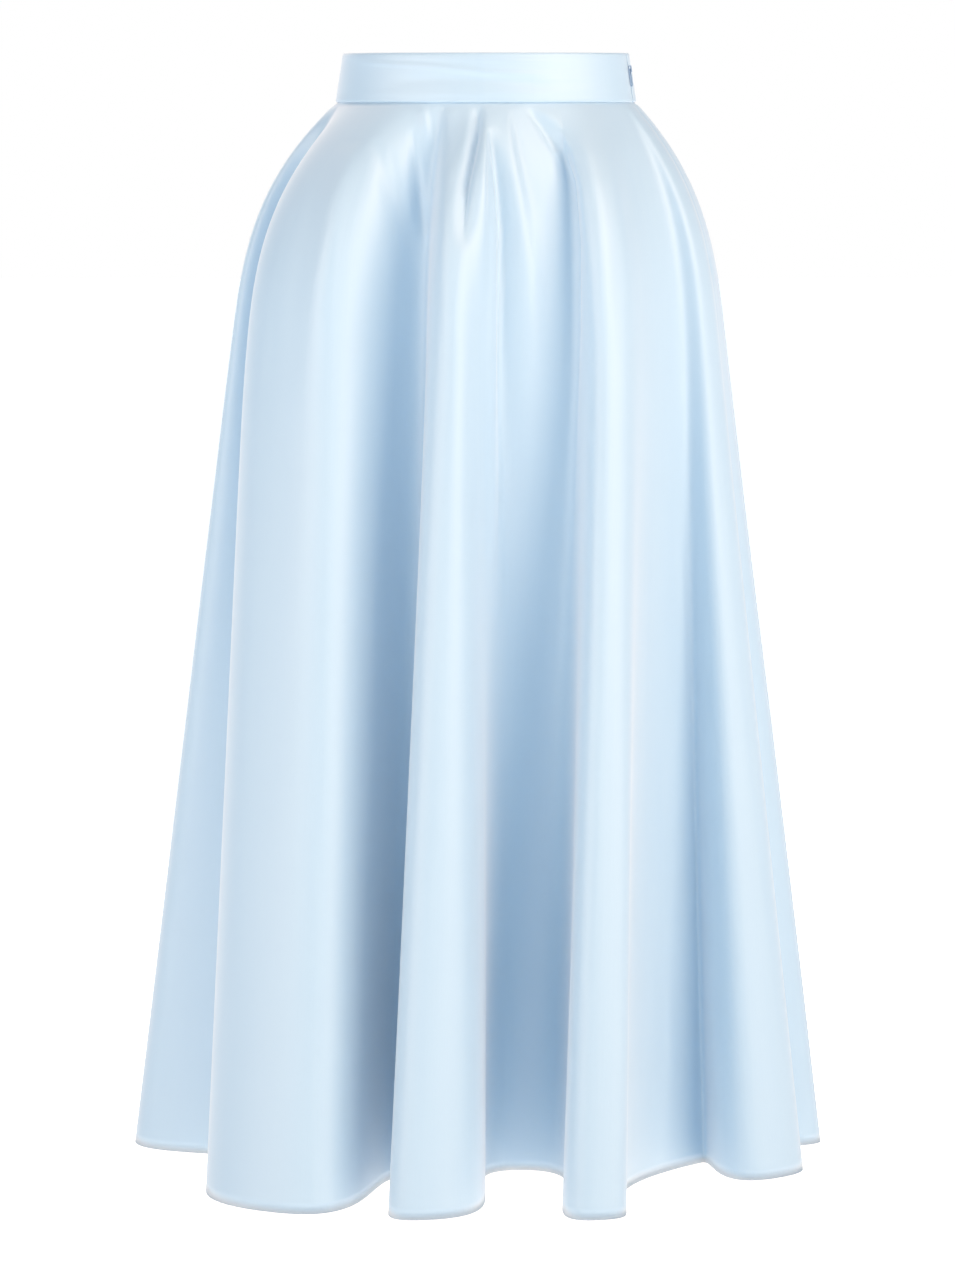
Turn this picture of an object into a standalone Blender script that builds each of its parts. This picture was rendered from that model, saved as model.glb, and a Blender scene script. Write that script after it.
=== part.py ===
# Circle skirt with a waistband and a concealed side zip, filled out with no wearer.
# Metres, +Z up, the front faces -Y, +X is the wearer's left. The origin is the
# middle of the waist opening, at half the height of the band.

import math
from collections import namedtuple

import bmesh
import bpy
from mathutils import Matrix, Vector

# Cloth and seams
CLOTH = 0.0020
GAP = 0.0003

# Waistband: an oval ring that leans out downward
BAND_TOP_Z = 0.021
BAND_BOTTOM_Z = -0.021
BAND_TOP_HALF_WIDTH = 0.1225
BAND_TOP_HALF_DEPTH = 0.0945
WAIST_HALF_WIDTH = 0.1290
WAIST_HALF_DEPTH = 0.1000
BAND_COLUMNS = 72
BAND_ROWS = 2
BAND_SLIT = 0.0022

# Skirt: waist seam, hip and hem levels
WAIST_Z = BAND_BOTTOM_Z - GAP
HIP_Z = -0.220
HEM_Z = -0.939

# The two side seams sit this far round from the widest points, the left one forward
SEAM_TURN = math.radians(13.0)

# From waist to hip the cloth flares fast, then settles to a steady slope
FLARE_STEADY = 0.31
FLARE_POWER = 3.0
FLARE_LEVELS = (0.0, 0.06, 0.13, 0.22, 0.33, 0.48, 0.70, 1.0)
LOWER_LEVELS = 3
FLANK_COLUMNS = 9

# One row a fold, from the wearer's right side round the front to the back. Each row
# gives the fold's crest and the trough after it, front being the distance forward of
# the waist's centre. In and out say how far the cloth runs straight there, before the
# crest or trough and after it.
Fold = namedtuple(
    "Fold",
    "crest_x crest_front crest_in crest_out trough_x trough_front trough_in trough_out",
)

HIP_FOLDS = (
    Fold(-0.220, 0.004, 0.048, 0.022, -0.182, 0.012, 0.020, 0.018),
    Fold(-0.152, 0.142, 0.130, 0.056, -0.054, 0.106, 0.026, 0.012),
    Fold(-0.029, 0.184, 0.034, 0.020, 0.073, 0.128, 0.080, 0.010),
    Fold(0.108, 0.163, 0.030, 0.028, 0.164, 0.082, 0.056, 0.018),
    Fold(0.191, 0.073, 0.016, 0.020, 0.2015, 0.034, 0.018, 0.018),
    Fold(0.205, -0.026, 0.030, 0.030, 0.174, -0.076, 0.025, 0.025),
    Fold(0.154, -0.130, 0.035, 0.035, 0.101, -0.126, 0.030, 0.030),
    Fold(0.058, -0.178, 0.036, 0.036, 0.008, -0.150, 0.030, 0.030),
    Fold(-0.046, -0.180, 0.036, 0.036, -0.097, -0.136, 0.030, 0.030),
    Fold(-0.153, -0.138, 0.042, 0.042, -0.190, -0.072, 0.025, 0.025),
)

HEM_FOLDS = (
    Fold(-0.312, -0.018, 0.055, 0.055, -0.206, 0.054, 0.030, 0.022),
    Fold(-0.180, 0.245, 0.132, 0.108, -0.064, 0.120, 0.046, 0.046),
    Fold(-0.044, 0.271, 0.098, 0.094, 0.031, 0.096, 0.078, 0.086),
    Fold(0.091, 0.273, 0.071, 0.072, 0.188, 0.068, 0.190, 0.018),
    Fold(0.254, 0.122, 0.080, 0.066, 0.248, 0.024, 0.030, 0.030),
    Fold(0.293, -0.034, 0.052, 0.052, 0.196, -0.088, 0.045, 0.045),
    Fold(0.226, -0.200, 0.080, 0.080, 0.112, -0.105, 0.048, 0.048),
    Fold(0.085, -0.278, 0.080, 0.080, 0.018, -0.100, 0.045, 0.045),
    Fold(-0.050, -0.270, 0.080, 0.080, -0.112, -0.115, 0.045, 0.045),
    Fold(-0.186, -0.236, 0.095, 0.095, -0.205, -0.084, 0.046, 0.046),
)
FRONT_FOLDS = 5

# Concealed zip in the wearer's left side seam
ZIP_TOP_Z = 0.018
ZIP_FLARE_LEVELS = 7
TAPE_THICKNESS = 0.0010
TAPE_EDGES = (0.0012, 0.0060, 0.0115)
TAPE_CLEARANCE = 0.0005
COIL_HALF_WIDTH = 0.0013
COIL_THICKNESS = 0.0014
SLIDER_Z = 0.0070
SLIDER_BODY = (0.0022, 0.0056, 0.0080)
SLIDER_CLEARANCE = 0.0005
BRIDGE_THICKNESS = 0.0012
BRIDGE_HALF_HEIGHT = 0.0028
BRIDGE_WINDOW_HALF_HEIGHT = 0.0020
BRIDGE_WINDOW_OUTER = 0.0011
BRIDGE_WINDOW_INNER = -0.0010
BRIDGE_OUTER = 0.0019
PIVOT_OFFSET = 0.0015
TAB_WIDTH = 0.0050
TAB_LENGTH = 0.0150
TAB_THICKNESS = 0.0011
TAB_HOLE_HALF_WIDTH = 0.0012
TAB_HOLE_TOP = -0.00035
TAB_HOLE_BOTTOM = -0.0046

# Colours are linear: name, colour, roughness, metallic
MATERIALS = {
    "satin_cloth": ((0.66, 0.78, 0.92, 1.0), 0.45, 0.0),
    "zip_tape": ((0.62, 0.74, 0.88, 1.0), 0.80, 0.0),
    "zip_coil": ((0.60, 0.72, 0.86, 1.0), 0.40, 0.0),
    "lacquered_zinc": ((0.55, 0.65, 0.78, 1.0), 0.35, 0.0),
}


def clear_scene():
    for item in list(bpy.data.objects):
        bpy.data.objects.remove(item, do_unlink=True)


def get_material(name):
    material = bpy.data.materials.get(name)
    if material is None:
        color, roughness, metallic = MATERIALS[name]
        material = bpy.data.materials.new(name)
        material.use_nodes = True
        shader = material.node_tree.nodes["Principled BSDF"]
        shader.inputs["Base Color"].default_value = color
        shader.inputs["Roughness"].default_value = roughness
        shader.inputs["Metallic"].default_value = metallic
    return material


def add_object(name, work_mesh, material_name, place=None, smooth_angle=None):
    mesh = bpy.data.meshes.new(name)
    work_mesh.to_mesh(mesh)
    work_mesh.free()
    mesh.materials.append(get_material(material_name))
    if smooth_angle is not None:
        mesh.shade_smooth()
        mesh.set_sharp_from_angle(angle=math.radians(smooth_angle))
    item = bpy.data.objects.new(name, mesh)
    if place is not None:
        item.matrix_world = place
    bpy.context.scene.collection.objects.link(item)
    return item


# ---- the cloth's form ----

def bezier(start, start_handle, end_handle, end, count):
    points = []
    for step in range(count):
        t = step / count
        s = 1.0 - t
        near = start * s ** 3 + start_handle * (3 * s * s * t)
        far = end_handle * (3 * s * t * t) + end * t ** 3
        points.append(near + far)
    return points


def fold_curve(folds):
    # One closed plan curve: trough to crest to trough, starting at the right side seam
    crests = [Vector((row.crest_x, -row.crest_front)) for row in folds]
    troughs = [Vector((row.trough_x, -row.trough_front)) for row in folds]
    points = []
    for index, row in enumerate(folds):
        before = folds[index - 1]
        after = (index + 1) % len(folds)
        crest_run = (troughs[index] - troughs[index - 1]).normalized()
        trough_run = (crests[after] - crests[index]).normalized()
        run_before = (crests[index] - crests[index - 1]).normalized()
        points += bezier(
            troughs[index - 1],
            troughs[index - 1] + run_before * before.trough_out,
            crests[index] - crest_run * row.crest_in,
            crests[index],
            FLANK_COLUMNS,
        )
        points += bezier(
            crests[index],
            crests[index] + crest_run * row.crest_out,
            troughs[index] - trough_run * row.trough_in,
            troughs[index],
            FLANK_COLUMNS,
        )
    return points


def oval_point(half_width, half_depth, turn):
    # turn 0 is the widest point on the wearer's right, a quarter turn is the front
    return Vector((-half_width * math.cos(turn), -half_depth * math.sin(turn)))


def waist_curve(hip_curve):
    # Each panel takes half of the oval, shared out as its cloth is at the hip
    half = 2 * FLANK_COLUMNS * FRONT_FOLDS
    points = []
    for panel in range(2):
        first = panel * half
        run = [hip_curve[(first + step) % (2 * half)] for step in range(half + 1)]
        lengths = [0.0]
        for near, far in zip(run, run[1:]):
            lengths.append(lengths[-1] + (far - near).length)
        start_turn = math.pi * panel - SEAM_TURN
        for step in range(half):
            turn = start_turn + math.pi * lengths[step] / lengths[-1]
            points.append(oval_point(WAIST_HALF_WIDTH, WAIST_HALF_DEPTH, turn))
    return points


HIP_CURVE = fold_curve(HIP_FOLDS)
HEM_CURVE = fold_curve(HEM_FOLDS)
WAIST_CURVE = waist_curve(HIP_CURVE)
COLUMNS = len(HIP_CURVE)
SEAM_COLUMN = 2 * FLANK_COLUMNS * FRONT_FOLDS


def skirt_point(column, z):
    column %= COLUMNS
    if z > HIP_Z:
        share = (WAIST_Z - z) / (WAIST_Z - HIP_Z)
        fast = 1.0 - (1.0 - share) ** FLARE_POWER
        blend = FLARE_STEADY * share + (1.0 - FLARE_STEADY) * fast
        plan = WAIST_CURVE[column].lerp(HIP_CURVE[column], blend)
    else:
        share = (HIP_Z - z) / (HIP_Z - HEM_Z)
        plan = HIP_CURVE[column].lerp(HEM_CURVE[column], share)
    return Vector((plan.x, plan.y, z))


def band_point(turn, z):
    share = (BAND_TOP_Z - z) / (BAND_TOP_Z - BAND_BOTTOM_Z)
    half_width = BAND_TOP_HALF_WIDTH + (WAIST_HALF_WIDTH - BAND_TOP_HALF_WIDTH) * share
    half_depth = BAND_TOP_HALF_DEPTH + (WAIST_HALF_DEPTH - BAND_TOP_HALF_DEPTH) * share
    plan = oval_point(half_width, half_depth, turn)
    return Vector((plan.x, plan.y, z))


def skirt_levels():
    upper = [WAIST_Z + (HIP_Z - WAIST_Z) * share for share in FLARE_LEVELS]
    lower = [HIP_Z + (HEM_Z - HIP_Z) * (step + 1) / LOWER_LEVELS for step in range(LOWER_LEVELS)]
    return upper + lower


def add_wall(name, rows, material_name, thickness, depth=0.0):
    # Rows run downward and each one runs the same way round as the fold table, so the
    # faces look outward. The wall grows inward, from this depth under the points.
    work = bmesh.new()
    grid = [[work.verts.new(point) for point in row] for row in rows]
    for upper, lower in zip(grid, grid[1:]):
        for index in range(len(upper) - 1):
            work.faces.new((upper[index], lower[index], lower[index + 1], upper[index + 1]))
    item = add_object(name, work, material_name, smooth_angle=50.0)
    wall = item.modifiers.new("wall", "SOLIDIFY")
    wall.thickness = thickness
    wall.offset = -1.0 - 2.0 * depth / thickness
    wall.use_even_offset = True
    wall.use_rim = True
    return item


def pull_ends_in(row, distance):
    row[0] = row[0] + (row[1] - row[0]).normalized() * distance
    row[-1] = row[-1] + (row[-2] - row[-1]).normalized() * distance


def make_panel(name, first_column):
    rows = []
    for z in skirt_levels():
        row = [skirt_point(first_column + step, z) for step in range(SEAM_COLUMN + 1)]
        pull_ends_in(row, GAP / 2)
        rows.append(row)
    add_wall(name, rows, "satin_cloth", CLOTH)


def make_waistband():
    rows = []
    start_turn = math.pi - SEAM_TURN
    for level in range(BAND_ROWS + 1):
        z = BAND_TOP_Z + (BAND_BOTTOM_Z - BAND_TOP_Z) * level / BAND_ROWS
        turns = [start_turn + 2 * math.pi * step / BAND_COLUMNS for step in range(BAND_COLUMNS + 1)]
        row = [band_point(turn, z) for turn in turns]
        pull_ends_in(row, BAND_SLIT / 2)
        rows.append(row)
    add_wall("waistband", rows, "satin_cloth", CLOTH)


# ---- the zip ----

def seam_line(z):
    # The cloth's points at this height, from before the left side seam to after it
    if z > WAIST_Z:
        seam_turn = math.pi - SEAM_TURN
        turn_step = 2 * math.pi / BAND_COLUMNS
        return [band_point(seam_turn + turn_step * step, z) for step in range(-2, 3)]
    reach = FLANK_COLUMNS
    return [skirt_point(SEAM_COLUMN + step, z) for step in range(-reach, reach + 1)]


def walk(line, distance):
    # The point this far along the cloth from the seam, backward if positive
    step = 1 if distance > 0 else -1
    index = len(line) // 2
    left = abs(distance)
    run = line[index + step] - line[index]
    while left > run.length:
        left -= run.length
        index += step
        run = line[index + step] - line[index]
    return line[index] + run.normalized() * left


def zip_rows(offsets, heights):
    return [[walk(seam_line(z), offset) for offset in offsets] for z in heights]


def seam_heights(top_z):
    return [top_z] + skirt_levels()[:ZIP_FLARE_LEVELS]


def make_zip_tapes():
    depth = CLOTH + TAPE_CLEARANCE
    heights = seam_heights(ZIP_TOP_Z)
    front = [-offset for offset in reversed(TAPE_EDGES)]
    add_wall("zip_tape_front", zip_rows(front, heights), "zip_tape", TAPE_THICKNESS, depth)
    add_wall("zip_tape_back", zip_rows(TAPE_EDGES, heights), "zip_tape", TAPE_THICKNESS, depth)


def make_zip_coil():
    depth = CLOTH + TAPE_CLEARANCE + TAPE_THICKNESS + GAP
    heights = seam_heights(SLIDER_Z - SLIDER_BODY[2] / 2 - GAP)
    rows = zip_rows((-COIL_HALF_WIDTH, COIL_HALF_WIDTH), heights)
    add_wall("zip_coil", rows, "zip_coil", COIL_THICKNESS, depth)


def add_box(name, low, high, place, material_name):
    work = bmesh.new()
    bmesh.ops.create_cube(work, size=1.0)
    size = Vector(high) - Vector(low)
    middle = (Vector(high) + Vector(low)) / 2
    bmesh.ops.scale(work, vec=size, verts=work.verts)
    bmesh.ops.translate(work, vec=middle, verts=work.verts)
    return add_object(name, work, material_name, place=place)


def combine(item, other, operation):
    other.hide_render = True
    other.display_type = "WIRE"
    modifier = item.modifiers.new(other.name, "BOOLEAN")
    modifier.operation = operation
    modifier.solver = "EXACT"
    modifier.object = other


def pivot_place():
    # Local X points out of the band, Y back along it and Z up its leaning side
    line = seam_line(SLIDER_Z)
    middle = len(line) // 2
    back = (line[middle + 1] - line[middle - 1]).normalized()
    turn = math.pi - SEAM_TURN
    up = (band_point(turn, BAND_TOP_Z) - band_point(turn, BAND_BOTTOM_Z)).normalized()
    out = back.cross(up).normalized()
    up = out.cross(back)
    place = Matrix((out, back, up)).transposed().to_4x4()
    place.translation = line[middle] + out * PIVOT_OFFSET
    return place


def make_zip_slider():
    place = pivot_place()
    body_out = -PIVOT_OFFSET - CLOTH - TAPE_CLEARANCE - TAPE_THICKNESS - SLIDER_CLEARANCE
    half = BRIDGE_THICKNESS / 2
    slider = add_box(
        "zip_slider",
        (body_out - SLIDER_BODY[0] / 2, -half, -BRIDGE_HALF_HEIGHT),
        (BRIDGE_OUTER, half, BRIDGE_HALF_HEIGHT),
        place,
        "lacquered_zinc",
    )
    window = add_box(
        "bridge_window_cutter",
        (BRIDGE_WINDOW_INNER, -BRIDGE_THICKNESS, -BRIDGE_WINDOW_HALF_HEIGHT),
        (BRIDGE_WINDOW_OUTER, BRIDGE_THICKNESS, BRIDGE_WINDOW_HALF_HEIGHT),
        place,
        "lacquered_zinc",
    )
    body = add_box(
        "slider_body_guide",
        (body_out - SLIDER_BODY[0], -SLIDER_BODY[1] / 2, -SLIDER_BODY[2] / 2),
        (body_out, SLIDER_BODY[1] / 2, SLIDER_BODY[2] / 2),
        place,
        "lacquered_zinc",
    )
    combine(slider, window, "DIFFERENCE")
    combine(slider, body, "UNION")


def make_pull_tab():
    place = pivot_place()
    half_width = TAB_WIDTH / 2
    half_thickness = TAB_THICKNESS / 2
    outline = [(half_width, 0.0), (-half_width, 0.0)]
    end_centre = -TAB_LENGTH + half_width
    for step in range(9):
        angle = math.pi + math.pi * step / 8
        outline.append((half_width * math.cos(angle), end_centre + half_width * math.sin(angle)))
    work = bmesh.new()
    ring = [work.verts.new((-half_thickness, y, z)) for y, z in outline]
    plate = work.faces.new(ring)
    grown = bmesh.ops.extrude_face_region(work, geom=[plate])
    moved = [part for part in grown["geom"] if isinstance(part, bmesh.types.BMVert)]
    bmesh.ops.translate(work, vec=(TAB_THICKNESS, 0.0, 0.0), verts=moved)
    bmesh.ops.recalc_face_normals(work, faces=work.faces)
    tab = add_object("zip_pull_tab", work, "lacquered_zinc", place=place)

    work = bmesh.new()
    bmesh.ops.create_cone(
        work, cap_ends=True, segments=16, radius1=half_thickness, radius2=half_thickness, depth=TAB_WIDTH
    )
    bmesh.ops.rotate(work, matrix=Matrix.Rotation(math.pi / 2, 3, "X"), verts=work.verts)
    bar = add_object("tab_bar_guide", work, "lacquered_zinc", place=place)
    hole = add_box(
        "tab_hole_cutter",
        (-TAB_THICKNESS, -TAB_HOLE_HALF_WIDTH, TAB_HOLE_BOTTOM),
        (TAB_THICKNESS, TAB_HOLE_HALF_WIDTH, TAB_HOLE_TOP),
        place,
        "lacquered_zinc",
    )
    combine(tab, bar, "UNION")
    combine(tab, hole, "DIFFERENCE")


def main():
    clear_scene()
    make_waistband()
    make_panel("front_panel", 0)
    make_panel("back_panel", SEAM_COLUMN)
    make_zip_tapes()
    make_zip_coil()
    make_zip_slider()
    make_pull_tab()


main()
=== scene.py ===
import math

import bpy
import numpy as np
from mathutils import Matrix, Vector


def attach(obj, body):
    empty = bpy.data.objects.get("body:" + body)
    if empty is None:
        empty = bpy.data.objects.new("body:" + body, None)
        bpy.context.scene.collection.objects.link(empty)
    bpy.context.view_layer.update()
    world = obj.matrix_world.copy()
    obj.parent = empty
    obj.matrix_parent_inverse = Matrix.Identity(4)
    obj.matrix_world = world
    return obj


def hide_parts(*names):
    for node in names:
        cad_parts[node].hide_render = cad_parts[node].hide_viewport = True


# A long circle skirt in pale blue satin, filled out with no wearer. Metres. The front
# faces -Y, and +X is the wearer's left, where the concealed zip is.

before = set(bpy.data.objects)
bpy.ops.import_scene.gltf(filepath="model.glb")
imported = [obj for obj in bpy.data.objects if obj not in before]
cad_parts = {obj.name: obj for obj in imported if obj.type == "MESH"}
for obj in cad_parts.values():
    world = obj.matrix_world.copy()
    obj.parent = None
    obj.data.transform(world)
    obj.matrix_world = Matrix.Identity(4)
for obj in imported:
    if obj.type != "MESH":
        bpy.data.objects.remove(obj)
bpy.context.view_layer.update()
print("stage: frame loaded")


# ---- small helpers ----

def toLinear(hexColour):
    # sRGB hex to the linear values that shaders take
    values = [int(hexColour[i:i + 2], 16) / 255 for i in (1, 3, 5)]
    linear = [v / 12.92 if v <= 0.04045 else ((v + 0.055) / 1.055) ** 2.4 for v in values]
    return (*linear, 1.0)


def addNode(tree, kind, settings=None, links=None):
    # links: input name or index -> a socket, or a value for that input
    node = tree.nodes.new(kind)
    for name, value in (settings or {}).items():
        setattr(node, name, value)
    for name, value in (links or {}).items():
        if isinstance(value, bpy.types.NodeSocket):
            tree.links.new(value, node.inputs[name])
        else:
            node.inputs[name].default_value = value
    return node


def newMaterial(name):
    material = bpy.data.materials.new(name)
    material.use_nodes = True
    material.node_tree.nodes.clear()
    return material, material.node_tree


def linkPiece(name, mesh, material):
    piece = bpy.data.objects.new(name, mesh)
    bpy.context.scene.collection.objects.link(piece)
    mesh.materials.append(material)
    mesh.shade_smooth()
    return piece


def gridMesh(name, points, uvs):
    # points: rows x columns x 3, rows running down the cloth
    rows, columns = points.shape[:2]
    index = np.arange(rows * columns).reshape(rows, columns)
    quads = np.stack([index[:-1, :-1], index[1:, :-1], index[1:, 1:], index[:-1, 1:]], axis=-1)
    mesh = bpy.data.meshes.new(name)
    mesh.from_pydata(points.reshape(-1, 3).tolist(), [], quads.reshape(-1, 4).tolist())
    layer = mesh.uv_layers.new(name="cloth")
    corners = np.zeros(len(mesh.loops), dtype=np.int32)
    mesh.loops.foreach_get("vertex_index", corners)
    layer.data.foreach_set("uv", uvs.reshape(-1, 2)[corners].ravel().astype(np.float32))
    mesh.update()
    return mesh


# ---- the cloth's form ----

clothForm = {
    "waistZ": -0.0213,
    "hipZ": -0.220,
    "hemZ": -0.939,
    "waistHalfWidth": 0.1290,
    "waistHalfDepth": 0.1000,
    "seamTurn": math.radians(13.0),   # the side seams sit this far round, left one forward
    "flareSteady": 0.31,              # share of the hip's flare that grows evenly
    "flarePower": 3.0,
    "hipSoftness": 0.032,             # how gently the hip's flare turns into the long hang
    "columns": 30,                    # along each flank of a fold
    "rows": 148,
    "rowSpread": 0.40,                # how close the top rows are, against an even share
    "cutRadius": 0.2305,              # waist radius of the half-circle cut
    "cutLength": 0.93,                # waist to hem along the cloth
    "cutFlat": (1.70, 1.04),          # the rectangle that one quarter ring is cut from
}

# One row a fold, from the wearer's right round the front and on round the back: the
# crest, then the trough after it. front is the distance forward of the waist's centre,
# and in and out are how far the cloth runs straight there, before it and after it.
foldColumns = ("crestX", "crestFront", "crestIn", "crestOut",
               "troughX", "troughFront", "troughIn", "troughOut")
hipFolds = (
    (-0.220, 0.004, 0.048, 0.022, -0.182, 0.012, 0.020, 0.018),
    (-0.152, 0.142, 0.130, 0.056, -0.054, 0.106, 0.026, 0.012),
    (-0.029, 0.184, 0.034, 0.020, 0.073, 0.128, 0.080, 0.010),
    (0.108, 0.163, 0.030, 0.028, 0.164, 0.082, 0.056, 0.018),
    (0.191, 0.073, 0.016, 0.020, 0.2015, 0.034, 0.018, 0.018),
    (0.205, -0.026, 0.030, 0.030, 0.174, -0.076, 0.025, 0.025),
    (0.154, -0.130, 0.035, 0.035, 0.101, -0.126, 0.030, 0.030),
    (0.058, -0.178, 0.036, 0.036, 0.008, -0.150, 0.030, 0.030),
    (-0.046, -0.180, 0.036, 0.036, -0.097, -0.136, 0.030, 0.030),
    (-0.153, -0.138, 0.042, 0.042, -0.190, -0.072, 0.025, 0.025),
)
hemFolds = (
    (-0.312, -0.018, 0.055, 0.055, -0.206, 0.054, 0.030, 0.022),
    (-0.180, 0.245, 0.132, 0.108, -0.064, 0.120, 0.046, 0.046),
    (-0.044, 0.271, 0.098, 0.094, 0.031, 0.096, 0.078, 0.086),
    (0.091, 0.273, 0.071, 0.072, 0.188, 0.068, 0.190, 0.018),
    (0.254, 0.122, 0.080, 0.066, 0.248, 0.024, 0.030, 0.030),
    (0.293, -0.034, 0.052, 0.052, 0.196, -0.088, 0.045, 0.045),
    (0.226, -0.200, 0.080, 0.080, 0.112, -0.105, 0.048, 0.048),
    (0.085, -0.278, 0.080, 0.080, 0.018, -0.100, 0.045, 0.045),
    (-0.050, -0.270, 0.080, 0.080, -0.112, -0.115, 0.045, 0.045),
    (-0.186, -0.236, 0.095, 0.095, -0.205, -0.084, 0.046, 0.046),
)


def unit(vector):
    return vector / np.linalg.norm(vector)


def bezier(start, startHandle, endHandle, end, count):
    t = (np.arange(count) / count)[:, None]
    s = 1 - t
    return s ** 3 * start + 3 * s * s * t * startHandle + 3 * s * t * t * endHandle + t ** 3 * end


def foldCurve(folds, count):
    # One closed plan curve, trough to crest to trough, starting at the right side seam
    rows = [dict(zip(foldColumns, row)) for row in folds]
    crests = [np.array((row["crestX"], -row["crestFront"])) for row in rows]
    troughs = [np.array((row["troughX"], -row["troughFront"])) for row in rows]
    runs = []
    for i, row in enumerate(rows):
        after = (i + 1) % len(rows)
        crestWay = unit(troughs[i] - troughs[i - 1])
        troughWay = unit(crests[after] - crests[i])
        wayBefore = unit(crests[i] - crests[i - 1])
        runs.append(bezier(troughs[i - 1], troughs[i - 1] + wayBefore * rows[i - 1]["troughOut"],
                           crests[i] - crestWay * row["crestIn"], crests[i], count))
        runs.append(bezier(crests[i], crests[i] + crestWay * row["crestOut"],
                           troughs[i] - troughWay * row["troughIn"], troughs[i], count))
    return np.concatenate(runs)


def ovalPoints(halfWidth, halfDepth, turns):
    return np.stack([-halfWidth * np.cos(turns), -halfDepth * np.sin(turns)], axis=-1)


def waistCurve(hip, form):
    # Each panel takes half of the oval, shared out as its cloth is at the hip
    half = len(hip) // 2
    closed = np.concatenate([hip, hip[:1]])
    lengths = np.concatenate([[0], np.cumsum(np.linalg.norm(np.diff(closed, axis=0), axis=1))])
    turns = []
    for panel in range(2):
        run = lengths[panel * half:(panel + 1) * half + 1] - lengths[panel * half]
        turns.append(math.pi * panel - form["seamTurn"] + math.pi * run[:-1] / run[-1])
    return ovalPoints(form["waistHalfWidth"], form["waistHalfDepth"], np.concatenate(turns))


hipCurve = foldCurve(hipFolds, clothForm["columns"])
hemCurve = foldCurve(hemFolds, clothForm["columns"])
topCurve = waistCurve(hipCurve, clothForm)
seamColumn = len(hipCurve) // 2


def flareShares(z):
    # How far the cloth has gone from waist to hip, and from hip to hem, at this height
    form = clothForm
    hipDrop = form["waistZ"] - form["hipZ"]
    drop = form["waistZ"] - np.asarray(z, dtype=float)
    soft = form["hipSoftness"] * np.logaddexp(0.0, (drop - hipDrop) / form["hipSoftness"])
    early = np.clip(drop / hipDrop, 0.0, 1.0)
    fast = 1.0 - (1.0 - early) ** form["flarePower"]
    flare = form["flareSteady"] * (drop - soft) / hipDrop + (1.0 - form["flareSteady"]) * fast
    return flare, soft / (form["hipZ"] - form["hemZ"])


def clothPlan(columns, z):
    # Plan points of these columns at this height
    flare, hang = flareShares(z)
    top, hip, hem = (curve[columns % len(hipCurve)] for curve in (topCurve, hipCurve, hemCurve))
    return top + (hip - top) * flare + (hem - hip) * hang


def clothGrid(firstColumn, heights):
    columns = np.arange(firstColumn, firstColumn + seamColumn + 1)
    rows = []
    for z in heights:
        plan = clothPlan(columns, z)
        rows.append(np.column_stack([plan, np.full(len(columns), z)]))
    return np.array(rows)


def gridNormals(points):
    down = np.gradient(points, axis=0)
    along = np.gradient(points, axis=1)
    normals = np.cross(down, along)
    return normals / np.linalg.norm(normals, axis=-1, keepdims=True)
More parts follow.
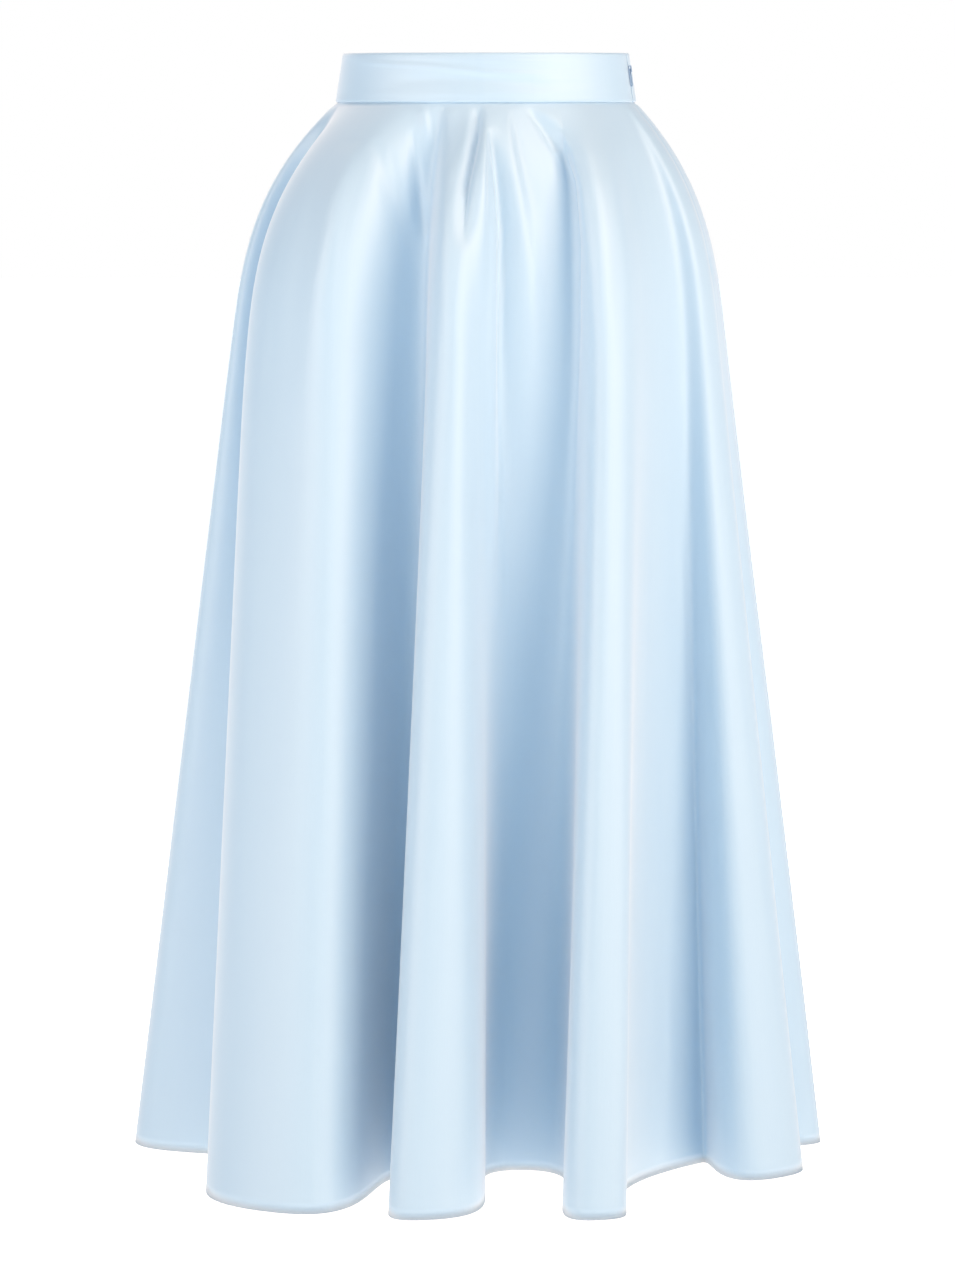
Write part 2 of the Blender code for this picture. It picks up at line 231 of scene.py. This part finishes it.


# ---- creases, placed one by one ----

# Each crease runs through its path of (x, z) in millimetres. left and right are how
# far it reaches to each side, from its top to its foot, and rise is its height there:
# above zero a ridge, below zero a trough.
frontCreases = {
    "deepGather": {"path": ((-7, -22), (-9, -48), (-17, -84), (-18, -112), (-18, -142)),
                   "left": (4, 8), "right": (4, 6), "rise": (-3.5, -8, -9, -7, 0)},
    "gatherPeak": {"path": ((-1, -40), (-2, -60), (-4, -85), (-4, -128), (-7, -200)),
                   "left": (4, 9), "right": (2.5, 7), "rise": (0.5, 4.0, 5.5, 3.0, 0)},
    "leftPeak": {"path": ((-30, -24), (-33, -80), (-34, -150), (-33, -230)),
                 "left": (6, 9), "right": (6, 9), "rise": (2.0, 4.0, 3.0, 0)},
    "rightOfPeak": {"path": ((3, -44), (10, -78), (15, -120), (16, -209), (17, -330), (15, -480)),
                    "left": (2.5, 8), "right": (5, 14), "rise": (-1.5, -6.5, -10, -11, -7, 0)},
    "middleRidge": {"path": ((18, -26), (20, -60), (27, -103), (35, -154), (40, -215), (42, -330)),
                    "left": (5, 13), "right": (6, 13), "rise": (0.8, 2.2, 3.4, 4.0, 3.4, 0)},
    "middleNick": {"path": ((21, -28), (28, -62), (37, -98), (42, -130)),
                   "left": (3, 5), "right": (3, 5), "rise": (-0.8, -1.6, -1.4, 0)},
    "sweep": {"path": ((35, -24), (50, -42), (64, -62), (71, -86), (75, -137), (75, -210),
                       (72, -330), (68, -480)),
              "left": (5, 20), "right": (2.5, 5), "rise": (-1.0, -4.0, -6, -6, -5, -4, -2, 0)},
    "sweepLip": {"path": ((45, -24), (60, -40), (75, -62), (83, -90), (88, -150), (92, -230)),
                 "left": (4, 7), "right": (14, 22), "rise": (1.0, 3.0, 4.5, 5.0, 3.5, 0)},
    "leftNick": {"path": ((-61, -44), (-58, -77), (-55, -111), (-53, -136)),
                 "left": (4, 6), "right": (2.5, 4), "rise": (-1.0, -4.0, -4.0, 0)},
    "toothRidge": {"path": ((-54, -22), (-51, -40), (-47, -66)),
                   "left": (5, 4), "right": (4, 3), "rise": (2.2, 2.4, 0)},
    "leftDrag": {"path": ((-92, -52), (-82, -90), (-70, -130), (-62, -175)),
                 "left": (6, 10), "right": (5, 9), "rise": (-0.8, -2.8, -2.4, 0)},
    "leftDragTwo": {"path": ((-81, -58), (-73, -95), (-65, -128)),
                    "left": (3, 5), "right": (3, 5), "rise": (-0.7, -1.8, 0)},
    "broadCrest": {"path": ((-112, -58), (-126, -100), (-138, -170), (-150, -300)),
                   "left": (9, 16), "right": (8, 15), "rise": (1.2, 3.4, 3.4, 0)},
    "sideShade": {"path": ((122, -62), (121, -100), (119, -150)),
                  "left": (7, 9), "right": (7, 9), "rise": (-0.3, -0.9, 0)},
    "sideShadeLow": {"path": ((106, -125), (110, -175), (112, -240)),
                     "left": (8, 10), "right": (8, 10), "rise": (-0.3, -1.0, 0)},
}

backCreases = {
    "centreDrag": {"path": ((6, -24), (9, -60), (10, -110), (9, -160)),
                   "left": (5, 9), "right": (5, 9), "rise": (-1.0, -3.5, -3.0, 0)},
    "leftGather": {"path": ((-38, -23), (-43, -60), (-48, -105), (-50, -150)),
                   "left": (4, 8), "right": (5, 9), "rise": (1.0, 2.6, 2.2, 0)},
    "leftGatherNick": {"path": ((-58, -26), (-66, -62), (-72, -100), (-75, -135)),
                       "left": (4, 7), "right": (4, 7), "rise": (-0.8, -2.4, -2.2, 0)},
    "rightGather": {"path": ((40, -24), (47, -66), (53, -120), (55, -180)),
                    "left": (5, 9), "right": (5, 10), "rise": (0.9, 2.8, 2.4, 0)},
    "rightGatherNick": {"path": ((66, -28), (76, -64), (84, -104), (88, -140)),
                        "left": (4, 7), "right": (4, 8), "rise": (-0.7, -2.2, -1.8, 0)},
    "smallNick": {"path": ((22, -24), (24, -48), (27, -80)),
                  "left": (3, 5), "right": (3, 5), "rise": (-0.5, -1.5, 0)},
    "farDrag": {"path": ((100, -45), (116, -80), (128, -125)),
                "left": (5, 8), "right": (5, 8), "rise": (-0.5, -1.5, 0)},
    "farDragRight": {"path": ((-104, -42), (-120, -84), (-132, -130)),
                     "left": (5, 8), "right": (5, 8), "rise": (-0.5, -1.6, 0)},
}


def creaseLift(points, crease, faceSign):
    # Height of one crease at every point of the grid, in metres
    x = points[..., 0]
    z = points[..., 2]
    path = np.array(crease["path"]) / 1000
    order = np.argsort(path[:, 1])
    lineX = np.interp(z, path[order, 1], path[order, 0])
    rise = np.interp(z, path[order, 1], np.array(crease["rise"])[order], left=0.0, right=0.0)
    share = np.clip((path[0, 1] - z) / (path[0, 1] - path[-1, 1]), 0.0, 1.0)
    left = crease["left"][0] + (crease["left"][1] - crease["left"][0]) * share
    right = crease["right"][0] + (crease["right"][1] - crease["right"][0]) * share
    offset = (x - lineX) * 1000
    reach = np.where(offset < 0, left, right)
    facing = points[..., 1] * faceSign > 0
    # the top of a crease runs in softly from the seam
    fade = np.clip((path[0, 1] + 0.006 - z) / 0.012, 0.0, 1.0)
    return np.where(facing, rise * np.exp(-(offset / reach) ** 2) * fade, 0.0) / 1000


# Soft long ridges down the folds: where along the fold table they run (a fold's number,
# and how far from its first trough to its last), their half width in metres of cloth,
# their rise in millimetres and the heights they start and end at
longRidges = (
    (0, 0.62, 0.012, 1.2, -0.30, -0.95),
    (1, 0.24, 0.010, 1.6, -0.28, -0.95),
    (1, 0.42, 0.016, 1.4, -0.20, -0.80),
    (2, 0.40, 0.008, -1.0, -0.35, -0.95),
    (2, 0.72, 0.010, 1.0, -0.45, -0.95),
    (3, 0.58, 0.012, 1.2, -0.40, -0.95),
    (4, 0.30, 0.014, -1.4, -0.30, -0.90),
    (5, 0.45, 0.012, 1.2, -0.35, -0.95),
    (6, 0.60, 0.014, -1.3, -0.30, -0.95),
    (7, 0.35, 0.012, 1.4, -0.25, -0.95),
    (8, 0.65, 0.013, -1.2, -0.30, -0.95),
    (9, 0.40, 0.014, 1.3, -0.25, -0.95),
)


def longRidgeLift(points, firstColumn):
    rows, count = points.shape[:2]
    lift = np.zeros((rows, count))
    z = points[:, :1, 2]
    perFold = 2 * clothForm["columns"]
    steps = np.linalg.norm(np.diff(points, axis=1), axis=-1)
    lengths = np.concatenate([np.zeros((rows, 1)), np.cumsum(steps, axis=1)], axis=1)
    for fold, place, halfWidth, rise, startZ, endZ in longRidges:
        column = int(round((fold + place) * perFold)) - firstColumn
        if not 0 <= column < count:
            continue
        offset = lengths - lengths[:, column:column + 1]
        fadeIn = np.clip((startZ - z) / 0.25, 0.0, 1.0)
        fadeOut = np.clip((z - endZ) / 0.15, 0.0, 1.0)
        fade = fadeIn * fadeIn * (3 - 2 * fadeIn) * fadeOut
        lift += rise / 1000 * fade * np.exp(-(offset / halfWidth) ** 2)
    return lift


# ---- panels ----

panelCloth = {
    "thickness": 0.0006,
    "seamDip": 0.0008,         # the cloth rolls in at the side seams
    "seamReach": 0.0030,
    "tuckUp": 0.0040,          # how far the top runs up inside the band
    "tuckIn": 0.0020,
    "seamStep": 0.0011,        # the cloth bends in under the band's edge
    "seamStepReach": 0.0022,
    "calmDrop": 0.008,         # creases fade out this close to the waist seam
    "hemTurnUp": 0.038,        # blind hem
    "hemGap": 0.0012,
    "hemRows": 5,
    "zipEndZ": -0.1604,        # a small dimple where the zip ends
    "zipEndDip": 0.0030,
    "zipEndReach": (0.0085, 0.0110),
}


def panelHeights():
    # Closer together near the waist, where the small creases are
    form = clothForm
    share = np.linspace(0.0, 1.0, form["rows"])
    eased = share * (form["rowSpread"] + (1.0 - form["rowSpread"]) * share)
    return form["waistZ"] + (form["hemZ"] - form["waistZ"]) * eased


def makePanel(name, firstColumn, creases, faceSign, material):
    cloth = panelCloth
    heights = panelHeights()
    points = clothGrid(firstColumn, heights)
    lift = longRidgeLift(points, firstColumn)
    for crease in creases.values():
        lift = lift + creaseLift(points, crease, faceSign)
    # seams: distance from each side edge along the cloth
    steps = np.linalg.norm(np.diff(points, axis=1), axis=-1)
    lengths = np.concatenate([np.zeros((len(heights), 1)), np.cumsum(steps, axis=1)], axis=1)
    edge = np.minimum(lengths, lengths[:, -1:] - lengths)
    lift = lift - cloth["seamDip"] * np.exp(-(edge / cloth["seamReach"]) ** 2)
    zipEdge = lengths[:, -1:] - lengths if firstColumn == 0 else lengths
    zipDrop = points[..., 2] - cloth["zipEndZ"]
    reachX, reachZ = cloth["zipEndReach"]
    lift = lift - cloth["zipEndDip"] * np.exp(-(zipEdge / reachX) ** 2 - (zipDrop / reachZ) ** 2)
    # nothing moves at the waist seam itself, where the cloth bends in under the band
    drop = clothForm["waistZ"] - points[..., 2]
    calm = np.clip(drop / cloth["calmDrop"], 0.0, 1.0)
    lift = lift * calm - cloth["seamStep"] * np.exp(-(drop / cloth["seamStepReach"]) ** 2)
    normals = gridNormals(points)
    surface = points + normals * lift[..., None]
    normals = gridNormals(surface)
    # the top runs up inside the band, and the hem turns up inside
    tuck = surface[:1] - normals[:1] * np.array((1.0, 1.0, 0.0)) * cloth["tuckIn"]
    tuck = tuck + np.array((0.0, 0.0, cloth["tuckUp"]))
    rows = [tuck, surface]
    drops = [-cloth["tuckUp"]] + list(clothForm["waistZ"] - heights)
    for step in range(1, cloth["hemRows"] + 1):
        rise = cloth["hemTurnUp"] * step / cloth["hemRows"]
        z = clothForm["hemZ"] + rise
        turned = np.empty_like(surface[0])
        for axis in range(3):
            turned[:, axis] = [np.interp(-z, -heights, surface[:, c, axis])
                               for c in range(surface.shape[1])]
        rows.append((turned - normals[-1] * cloth["hemGap"])[None])
        drops.append(clothForm["waistZ"] - clothForm["hemZ"] + rise)
    points = np.concatenate(rows)
    drops = np.array(drops)
    around = np.linspace(0.0, math.pi / 2, points.shape[1])
    radius = clothForm["cutRadius"] + np.maximum(drops, 0.0)
    uvs = np.stack(np.broadcast_arrays(around[None, :] * 0.7, radius[:, None]), axis=-1)
    piece = linkPiece(name, gridMesh(name, points, uvs), material)
    wall = piece.modifiers.new("cloth", "SOLIDIFY")
    wall.thickness = cloth["thickness"]
    wall.offset = -1.0
    wall.use_rim = True
    return piece


# ---- waistband ----

waistband = {
    "topZ": 0.0210,
    "bottomZ": -0.0212,
    "topHalfWidth": 0.1225,
    "topHalfDepth": 0.0945,
    "proud": 0.0007,          # stands this far out from the skirt
    "thickness": 0.0021,
    "edgeRound": 0.0009,
    "columns": 360,
    "rows": 26,
    "slit": 0.0022,
    "slitRadius": 0.1,        # how far out the slit is from the middle, near enough
    "edgeReach": 0.0016,
    "creaseFade": 12.0,       # millimetres
    "flat": (0.704, 0.042),
    # soft creases round the band: (x, height) in millimetres at their ends and middle,
    # half thickness and rise in millimetres
    "creases": (
        (((-104, 13), (-50, 9.5), (-4, 4.5), (40, 3)), 2.2, 0.80),
        (((-72, -3), (-34, -1), (6, -2), (48, -6)), 5.0, -1.30),
        (((-120, 16), (-60, 17), (0, 15), (60, 13)), 1.8, 0.30),
        (((-96, -13), (-20, -14), (40, -13), (100, -9)), 2.6, 0.35),
        (((8, 7), (30, 6), (54, 6.5), (80, 9)), 1.3, -0.25),
        (((20, -1), (44, -2), (70, -1.5), (96, 1)), 1.4, 0.22),
        (((-40, -17), (-15, -17.5), (10, -17), (30, -16)), 1.2, -0.22),
    ),
    "backCreases": (
        (((-90, 8), (-40, 5), (10, 6), (60, 9)), 2.4, 0.45),
        (((-60, -6), (-20, -3), (30, -4), (80, -8)), 4.0, -0.60),
        (((-30, 15), (10, 14), (50, 15), (95, 13)), 1.6, 0.28),
    ),
}


def bandSurface(turns, z, band):
    share = (band["topZ"] - z) / (band["topZ"] - band["bottomZ"])
    halfWidth = band["topHalfWidth"] + (clothForm["waistHalfWidth"] - band["topHalfWidth"]) * share
    halfDepth = band["topHalfDepth"] + (clothForm["waistHalfDepth"] - band["topHalfDepth"]) * share
    plan = ovalPoints(halfWidth, halfDepth, turns)
    out = np.stack([-np.cos(turns) / halfWidth, -np.sin(turns) / halfDepth], axis=-1)
    out /= np.linalg.norm(out, axis=-1, keepdims=True)
    return plan, out


def makeWaistband(material):
    band = waistband
    seamTurn = math.pi - clothForm["seamTurn"]
    slitTurn = band["slit"] / 2 / band["slitRadius"]
    turns = np.linspace(seamTurn + slitTurn, seamTurn + 2 * math.pi - slitTurn, band["columns"] + 1)
    rows = []
    for z in np.linspace(band["topZ"], band["bottomZ"], band["rows"] + 1):
        plan, out = bandSurface(turns, z, band)
        lift = np.full(len(turns), band["proud"])
        for face, creases in ((-1, band["creases"]), (1, band["backCreases"])):
            for path, half, rise in creases:
                path = np.array(path)
                height = np.interp(plan[:, 0] * 1000, path[:, 0], path[:, 1])
                fade = band["creaseFade"]
                ends = np.clip(np.minimum(plan[:, 0] * 1000 - path[0, 0] + fade,
                                          path[-1, 0] + fade - plan[:, 0] * 1000)
                               / (2 * fade), 0, 1)
                bump = rise * np.exp(-((z * 1000 - height) / half) ** 2) * ends
                lift += np.where(plan[:, 1] * face > 0, bump, 0.0) / 1000
        # the folded edges roll inward
        edge = min(band["topZ"] - z, z - band["bottomZ"])
        roll = max(0.0, 1.0 - edge / band["edgeReach"])
        lift -= band["edgeRound"] * roll ** 2
        rows.append(np.column_stack([plan + out * lift[:, None], np.full(len(turns), z)]))
    points = np.array(rows)
    length = np.linspace(0.0, band["flat"][0], points.shape[1])
    height = np.linspace(0.0, band["flat"][1], points.shape[0])
    uvs = np.stack(np.broadcast_arrays(length[None, :], height[:, None]), axis=-1)
    piece = linkPiece("waistbandCloth", gridMesh("waistbandCloth", points, uvs), material)
    wall = piece.modifiers.new("folded band", "SOLIDIFY")
    wall.thickness = band["thickness"]
    wall.offset = -1.0
    soften = piece.modifiers.new("soft edge", "BEVEL")
    soften.width = 0.0004
    soften.segments = 2
    soften.limit_method = "ANGLE"
    soften.angle_limit = math.radians(50)
    return piece


# ---- materials ----

satinLook = {
    "colour": "#adcfe6",
    "deepColour": "#a3c9e4",
    "roughness": 0.62,
    "threadSpacing": 0.0009,    # real satin threads are 0.1 mm apart, drawn coarser to show
    "streakWidth": 0.006,
}


def makeSatin():
    # Duchesse satin, woven with long warp floats: soft wide highlights, a faint grain
    # along the cloth's length and a milky sheen where it turns away
    look = satinLook
    material, tree = newMaterial("duchesseSatinWoven")
    uv = addNode(tree, "ShaderNodeUVMap", {"uv_map": "cloth"})
    streakScale = addNode(tree, "ShaderNodeMapping", {}, {
        "Vector": uv.outputs["UV"],
        "Scale": (1 / look["streakWidth"], 1 / (look["streakWidth"] * 40), 1.0)})
    streaks = addNode(tree, "ShaderNodeTexNoise", {}, {
        "Vector": streakScale.outputs["Vector"], "Scale": 1.0, "Detail": 4.0, "Roughness": 0.6})
    warp = addNode(tree, "ShaderNodeMapping", {}, {
        "Vector": uv.outputs["UV"],
        "Scale": (1 / look["threadSpacing"], 1 / (look["threadSpacing"] * 6), 1.0)})
    floats = addNode(tree, "ShaderNodeTexNoise", {}, {
        "Vector": warp.outputs["Vector"], "Scale": 1.0, "Detail": 2.0, "Roughness": 0.5})
    colour = addNode(tree, "ShaderNodeMix", {"data_type": "RGBA"}, {
        0: streaks.outputs["Fac"], 6: toLinear(look["deepColour"]), 7: toLinear(look["colour"])})
    gloss = addNode(tree, "ShaderNodeMapRange", {}, {
        "Value": streaks.outputs["Fac"], "From Min": 0.3, "From Max": 0.7,
        "To Min": look["roughness"] - 0.04, "To Max": look["roughness"] + 0.05})
    grain = addNode(tree, "ShaderNodeBump", {}, {
        "Strength": 0.10, "Distance": 0.0003, "Height": floats.outputs["Fac"]})
    softGrain = addNode(tree, "ShaderNodeBump", {}, {
        "Strength": 0.10, "Distance": 0.0010, "Height": streaks.outputs["Fac"],
        "Normal": grain.outputs["Normal"]})
    shader = addNode(tree, "ShaderNodeBsdfPrincipled", {}, {
        "Base Color": colour.outputs[2], "Roughness": gloss.outputs["Result"],
        "Normal": softGrain.outputs["Normal"],
        "Sheen Weight": 0.8, "Sheen Roughness": 0.6,
        "Sheen Tint": toLinear("#ffffff"),
        "Specular IOR Level": 1.0, "IOR": 2.0})
    addNode(tree, "ShaderNodeOutputMaterial", {}, {"Surface": shader.outputs["BSDF"]})
    return material


def makeTape():
    # Woven polyester zip tape: matt, with a fine herringbone-like rib across
    material, tree = newMaterial("polyesterTapeWoven")
    place = addNode(tree, "ShaderNodeTexCoord")
    ribs = addNode(tree, "ShaderNodeTexWave", {"bands_direction": "Z"}, {
        "Vector": place.outputs["Object"], "Scale": 320.0, "Distortion": 1.5, "Detail": 1.0})
    tint = addNode(tree, "ShaderNodeMix", {"data_type": "RGBA"}, {
        0: ribs.outputs["Fac"], 6: toLinear("#a5c0de"), 7: toLinear("#b6cfea")})
    bump = addNode(tree, "ShaderNodeBump", {}, {
        "Strength": 0.4, "Distance": 0.0002, "Height": ribs.outputs["Fac"]})
    shader = addNode(tree, "ShaderNodeBsdfPrincipled", {}, {
        "Base Color": tint.outputs[2], "Roughness": 0.85, "Normal": bump.outputs["Normal"]})
    addNode(tree, "ShaderNodeOutputMaterial", {}, {"Surface": shader.outputs["BSDF"]})
    return material


def makeCoilPlastic():
    # Extruded nylon coil: smooth and slightly shiny
    material, tree = newMaterial("nylonCoilExtruded")
    place = addNode(tree, "ShaderNodeTexCoord")
    mottle = addNode(tree, "ShaderNodeTexNoise", {}, {
        "Vector": place.outputs["Object"], "Scale": 900.0, "Detail": 2.0})
    tint = addNode(tree, "ShaderNodeMix", {"data_type": "RGBA"}, {
        0: mottle.outputs["Fac"], 6: toLinear("#9db9d8"), 7: toLinear("#b4cde8")})
    shader = addNode(tree, "ShaderNodeBsdfPrincipled", {}, {
        "Base Color": tint.outputs[2], "Roughness": 0.35, "IOR": 1.53})
    addNode(tree, "ShaderNodeOutputMaterial", {}, {"Surface": shader.outputs["BSDF"]})
    return material


def makeLacquer():
    # Die-cast zinc dipped in dyed lacquer: an even satin coat, a little orange peel
    material, tree = newMaterial("zincDieCastLacquered")
    place = addNode(tree, "ShaderNodeTexCoord")
    peel = addNode(tree, "ShaderNodeTexNoise", {}, {
        "Vector": place.outputs["Object"], "Scale": 1400.0, "Detail": 2.0})
    tint = addNode(tree, "ShaderNodeMix", {"data_type": "RGBA"}, {
        0: peel.outputs["Fac"], 6: toLinear("#8fa6c2"), 7: toLinear("#a3bad4")})
    bump = addNode(tree, "ShaderNodeBump", {}, {
        "Strength": 0.12, "Distance": 0.0001, "Height": peel.outputs["Fac"]})
    shader = addNode(tree, "ShaderNodeBsdfPrincipled", {}, {
        "Base Color": tint.outputs[2], "Roughness": 0.32, "Normal": bump.outputs["Normal"],
        "Coat Weight": 0.4, "Coat Roughness": 0.2})
    addNode(tree, "ShaderNodeOutputMaterial", {}, {"Surface": shader.outputs["BSDF"]})
    return material


# ---- studio ----

studio = {
    "floorZ": -1.45,
    "floorColour": "#f6f7f8",
    "floorReach": 30.0,
    "floorGlow": 0.42,
    "farGlow": 1.0,
    "keyPlace": (2.9, -2.4, 1.7), "keySize": 2.8, "keyPower": 150.0, "keyColour": "#ffe0c1",
    "fillPlace": (-2.9, -2.6, 1.0), "fillSize": 2.6, "fillPower": 81.0, "fillColour": "#ffe0c2",
    "topPlace": (0.3, -0.9, 2.6), "topSize": 2.4, "topPower": 20.0, "topColour": "#ffe8d8",
    "rearPlace": (-1.2, 3.4, 1.6), "rearSize": 3.0, "rearPower": 95.0, "rearColour": "#ffe4cc",
    "worldColour": "#66c6ff",
    "worldStrength": 0.28,
    "cameraPlace": (-0.0073, -4.0, -0.003),
    "cameraDown": 6.88,         # degrees below level
    "cameraLens": 130.2,
}


def makeStage():
    # A wide paper floor. It glows more towards its far parts, where the lamps don't reach
    look = studio
    material, tree = newMaterial("paperBackdropMatt")
    place = addNode(tree, "ShaderNodeTexCoord")
    away = addNode(tree, "ShaderNodeVectorMath", {"operation": "LENGTH"}, {
        0: place.outputs["Object"]})
    glow = addNode(tree, "ShaderNodeMapRange", {}, {
        "Value": away.outputs["Value"], "From Min": 1.5, "From Max": 3.2,
        "To Min": look["floorGlow"], "To Max": look["farGlow"]})
    tooth = addNode(tree, "ShaderNodeTexNoise", {}, {
        "Vector": place.outputs["Object"], "Scale": 60.0, "Detail": 3.0})
    bump = addNode(tree, "ShaderNodeBump", {}, {
        "Strength": 0.05, "Distance": 0.0005, "Height": tooth.outputs["Fac"]})
    shader = addNode(tree, "ShaderNodeBsdfPrincipled", {}, {
        "Base Color": toLinear(look["floorColour"]), "Roughness": 0.9,
        "Normal": bump.outputs["Normal"],
        "Emission Color": toLinear("#ffffff"), "Emission Strength": glow.outputs["Result"]})
    addNode(tree, "ShaderNodeOutputMaterial", {}, {"Surface": shader.outputs["BSDF"]})
    sides = np.linspace(-look["floorReach"], look["floorReach"], 9)
    points = np.array([[(x, y, look["floorZ"]) for x in sides] for y in sides[::-1]])
    uvs = points[..., :2]
    linkPiece("paperBackdrop", gridMesh("paperBackdrop", points, uvs), material)


def addSoftbox(name, place, size, power, colour):
    data = bpy.data.lights.new(name, "AREA")
    data.shape = "SQUARE"
    data.size = size
    data.energy = power
    data.color = toLinear(colour)[:3]
    lamp = bpy.data.objects.new(name, data)
    lamp.location = place
    aim = Vector((0.0, 0.0, -0.45)) - Vector(place)
    lamp.rotation_euler = aim.to_track_quat("-Z", "Y").to_euler()
    bpy.context.scene.collection.objects.link(lamp)


def makeLights():
    look = studio
    for lamp in ("key", "fill", "top", "rear"):
        addSoftbox(lamp + "Softbox", look[lamp + "Place"], look[lamp + "Size"],
                   look[lamp + "Power"], look[lamp + "Colour"])
    world = bpy.data.worlds.new("studioAir")
    bpy.context.scene.world = world
    world.use_nodes = True
    tree = world.node_tree
    tree.nodes.clear()
    # a pale blue air lights the cloth, and plain white paper is seen behind it
    air = addNode(tree, "ShaderNodeBackground", {}, {
        "Color": toLinear(look["worldColour"]), "Strength": look["worldStrength"]})
    paper = addNode(tree, "ShaderNodeBackground", {}, {"Color": toLinear("#ffffff")})
    ray = addNode(tree, "ShaderNodeLightPath")
    seen = addNode(tree, "ShaderNodeMixShader", {}, {
        0: ray.outputs["Is Camera Ray"], 1: air.outputs["Background"],
        2: paper.outputs["Background"]})
    addNode(tree, "ShaderNodeOutputWorld", {}, {"Surface": seen.outputs["Shader"]})


def makeCamera():
    look = studio
    data = bpy.data.cameras.new("camera")
    data.lens = look["cameraLens"]
    data.sensor_width = 36.0
    data.clip_start = 0.1
    data.clip_end = 50.0
    camera = bpy.data.objects.new("camera", data)
    camera.location = look["cameraPlace"]
    camera.rotation_euler = (math.radians(90.0 - look["cameraDown"]), 0.0, 0.0)
    bpy.context.scene.collection.objects.link(camera)
    bpy.context.scene.camera = camera


# ---- putting it together ----

satin = makeSatin()
tape = makeTape()
coilPlastic = makeCoilPlastic()
lacquer = makeLacquer()
print("stage: materials made")

frontCloth = makePanel("frontPanelCloth", 0, frontCreases, -1, satin)
backCloth = makePanel("backPanelCloth", seamColumn, backCreases, 1, satin)
bandCloth = makeWaistband(satin)
for piece, node in ((frontCloth, "front_panel"), (backCloth, "back_panel")):
    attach(piece, "skirt")
    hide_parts(node)
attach(bandCloth, "skirt")
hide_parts("waistband")
print("stage: cloth made")

for node, material in (("zip_tape_front", tape), ("zip_tape_back", tape),
                       ("zip_coil", coilPlastic), ("zip_slider", lacquer),
                       ("zip_pull_tab", lacquer)):
    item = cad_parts[node]
    for slot in item.material_slots:
        slot.material = material
print("stage: zip finished")

makeStage()
makeLights()
makeCamera()
bpy.context.scene.view_settings.view_transform = "Standard"
print("stage: studio made")
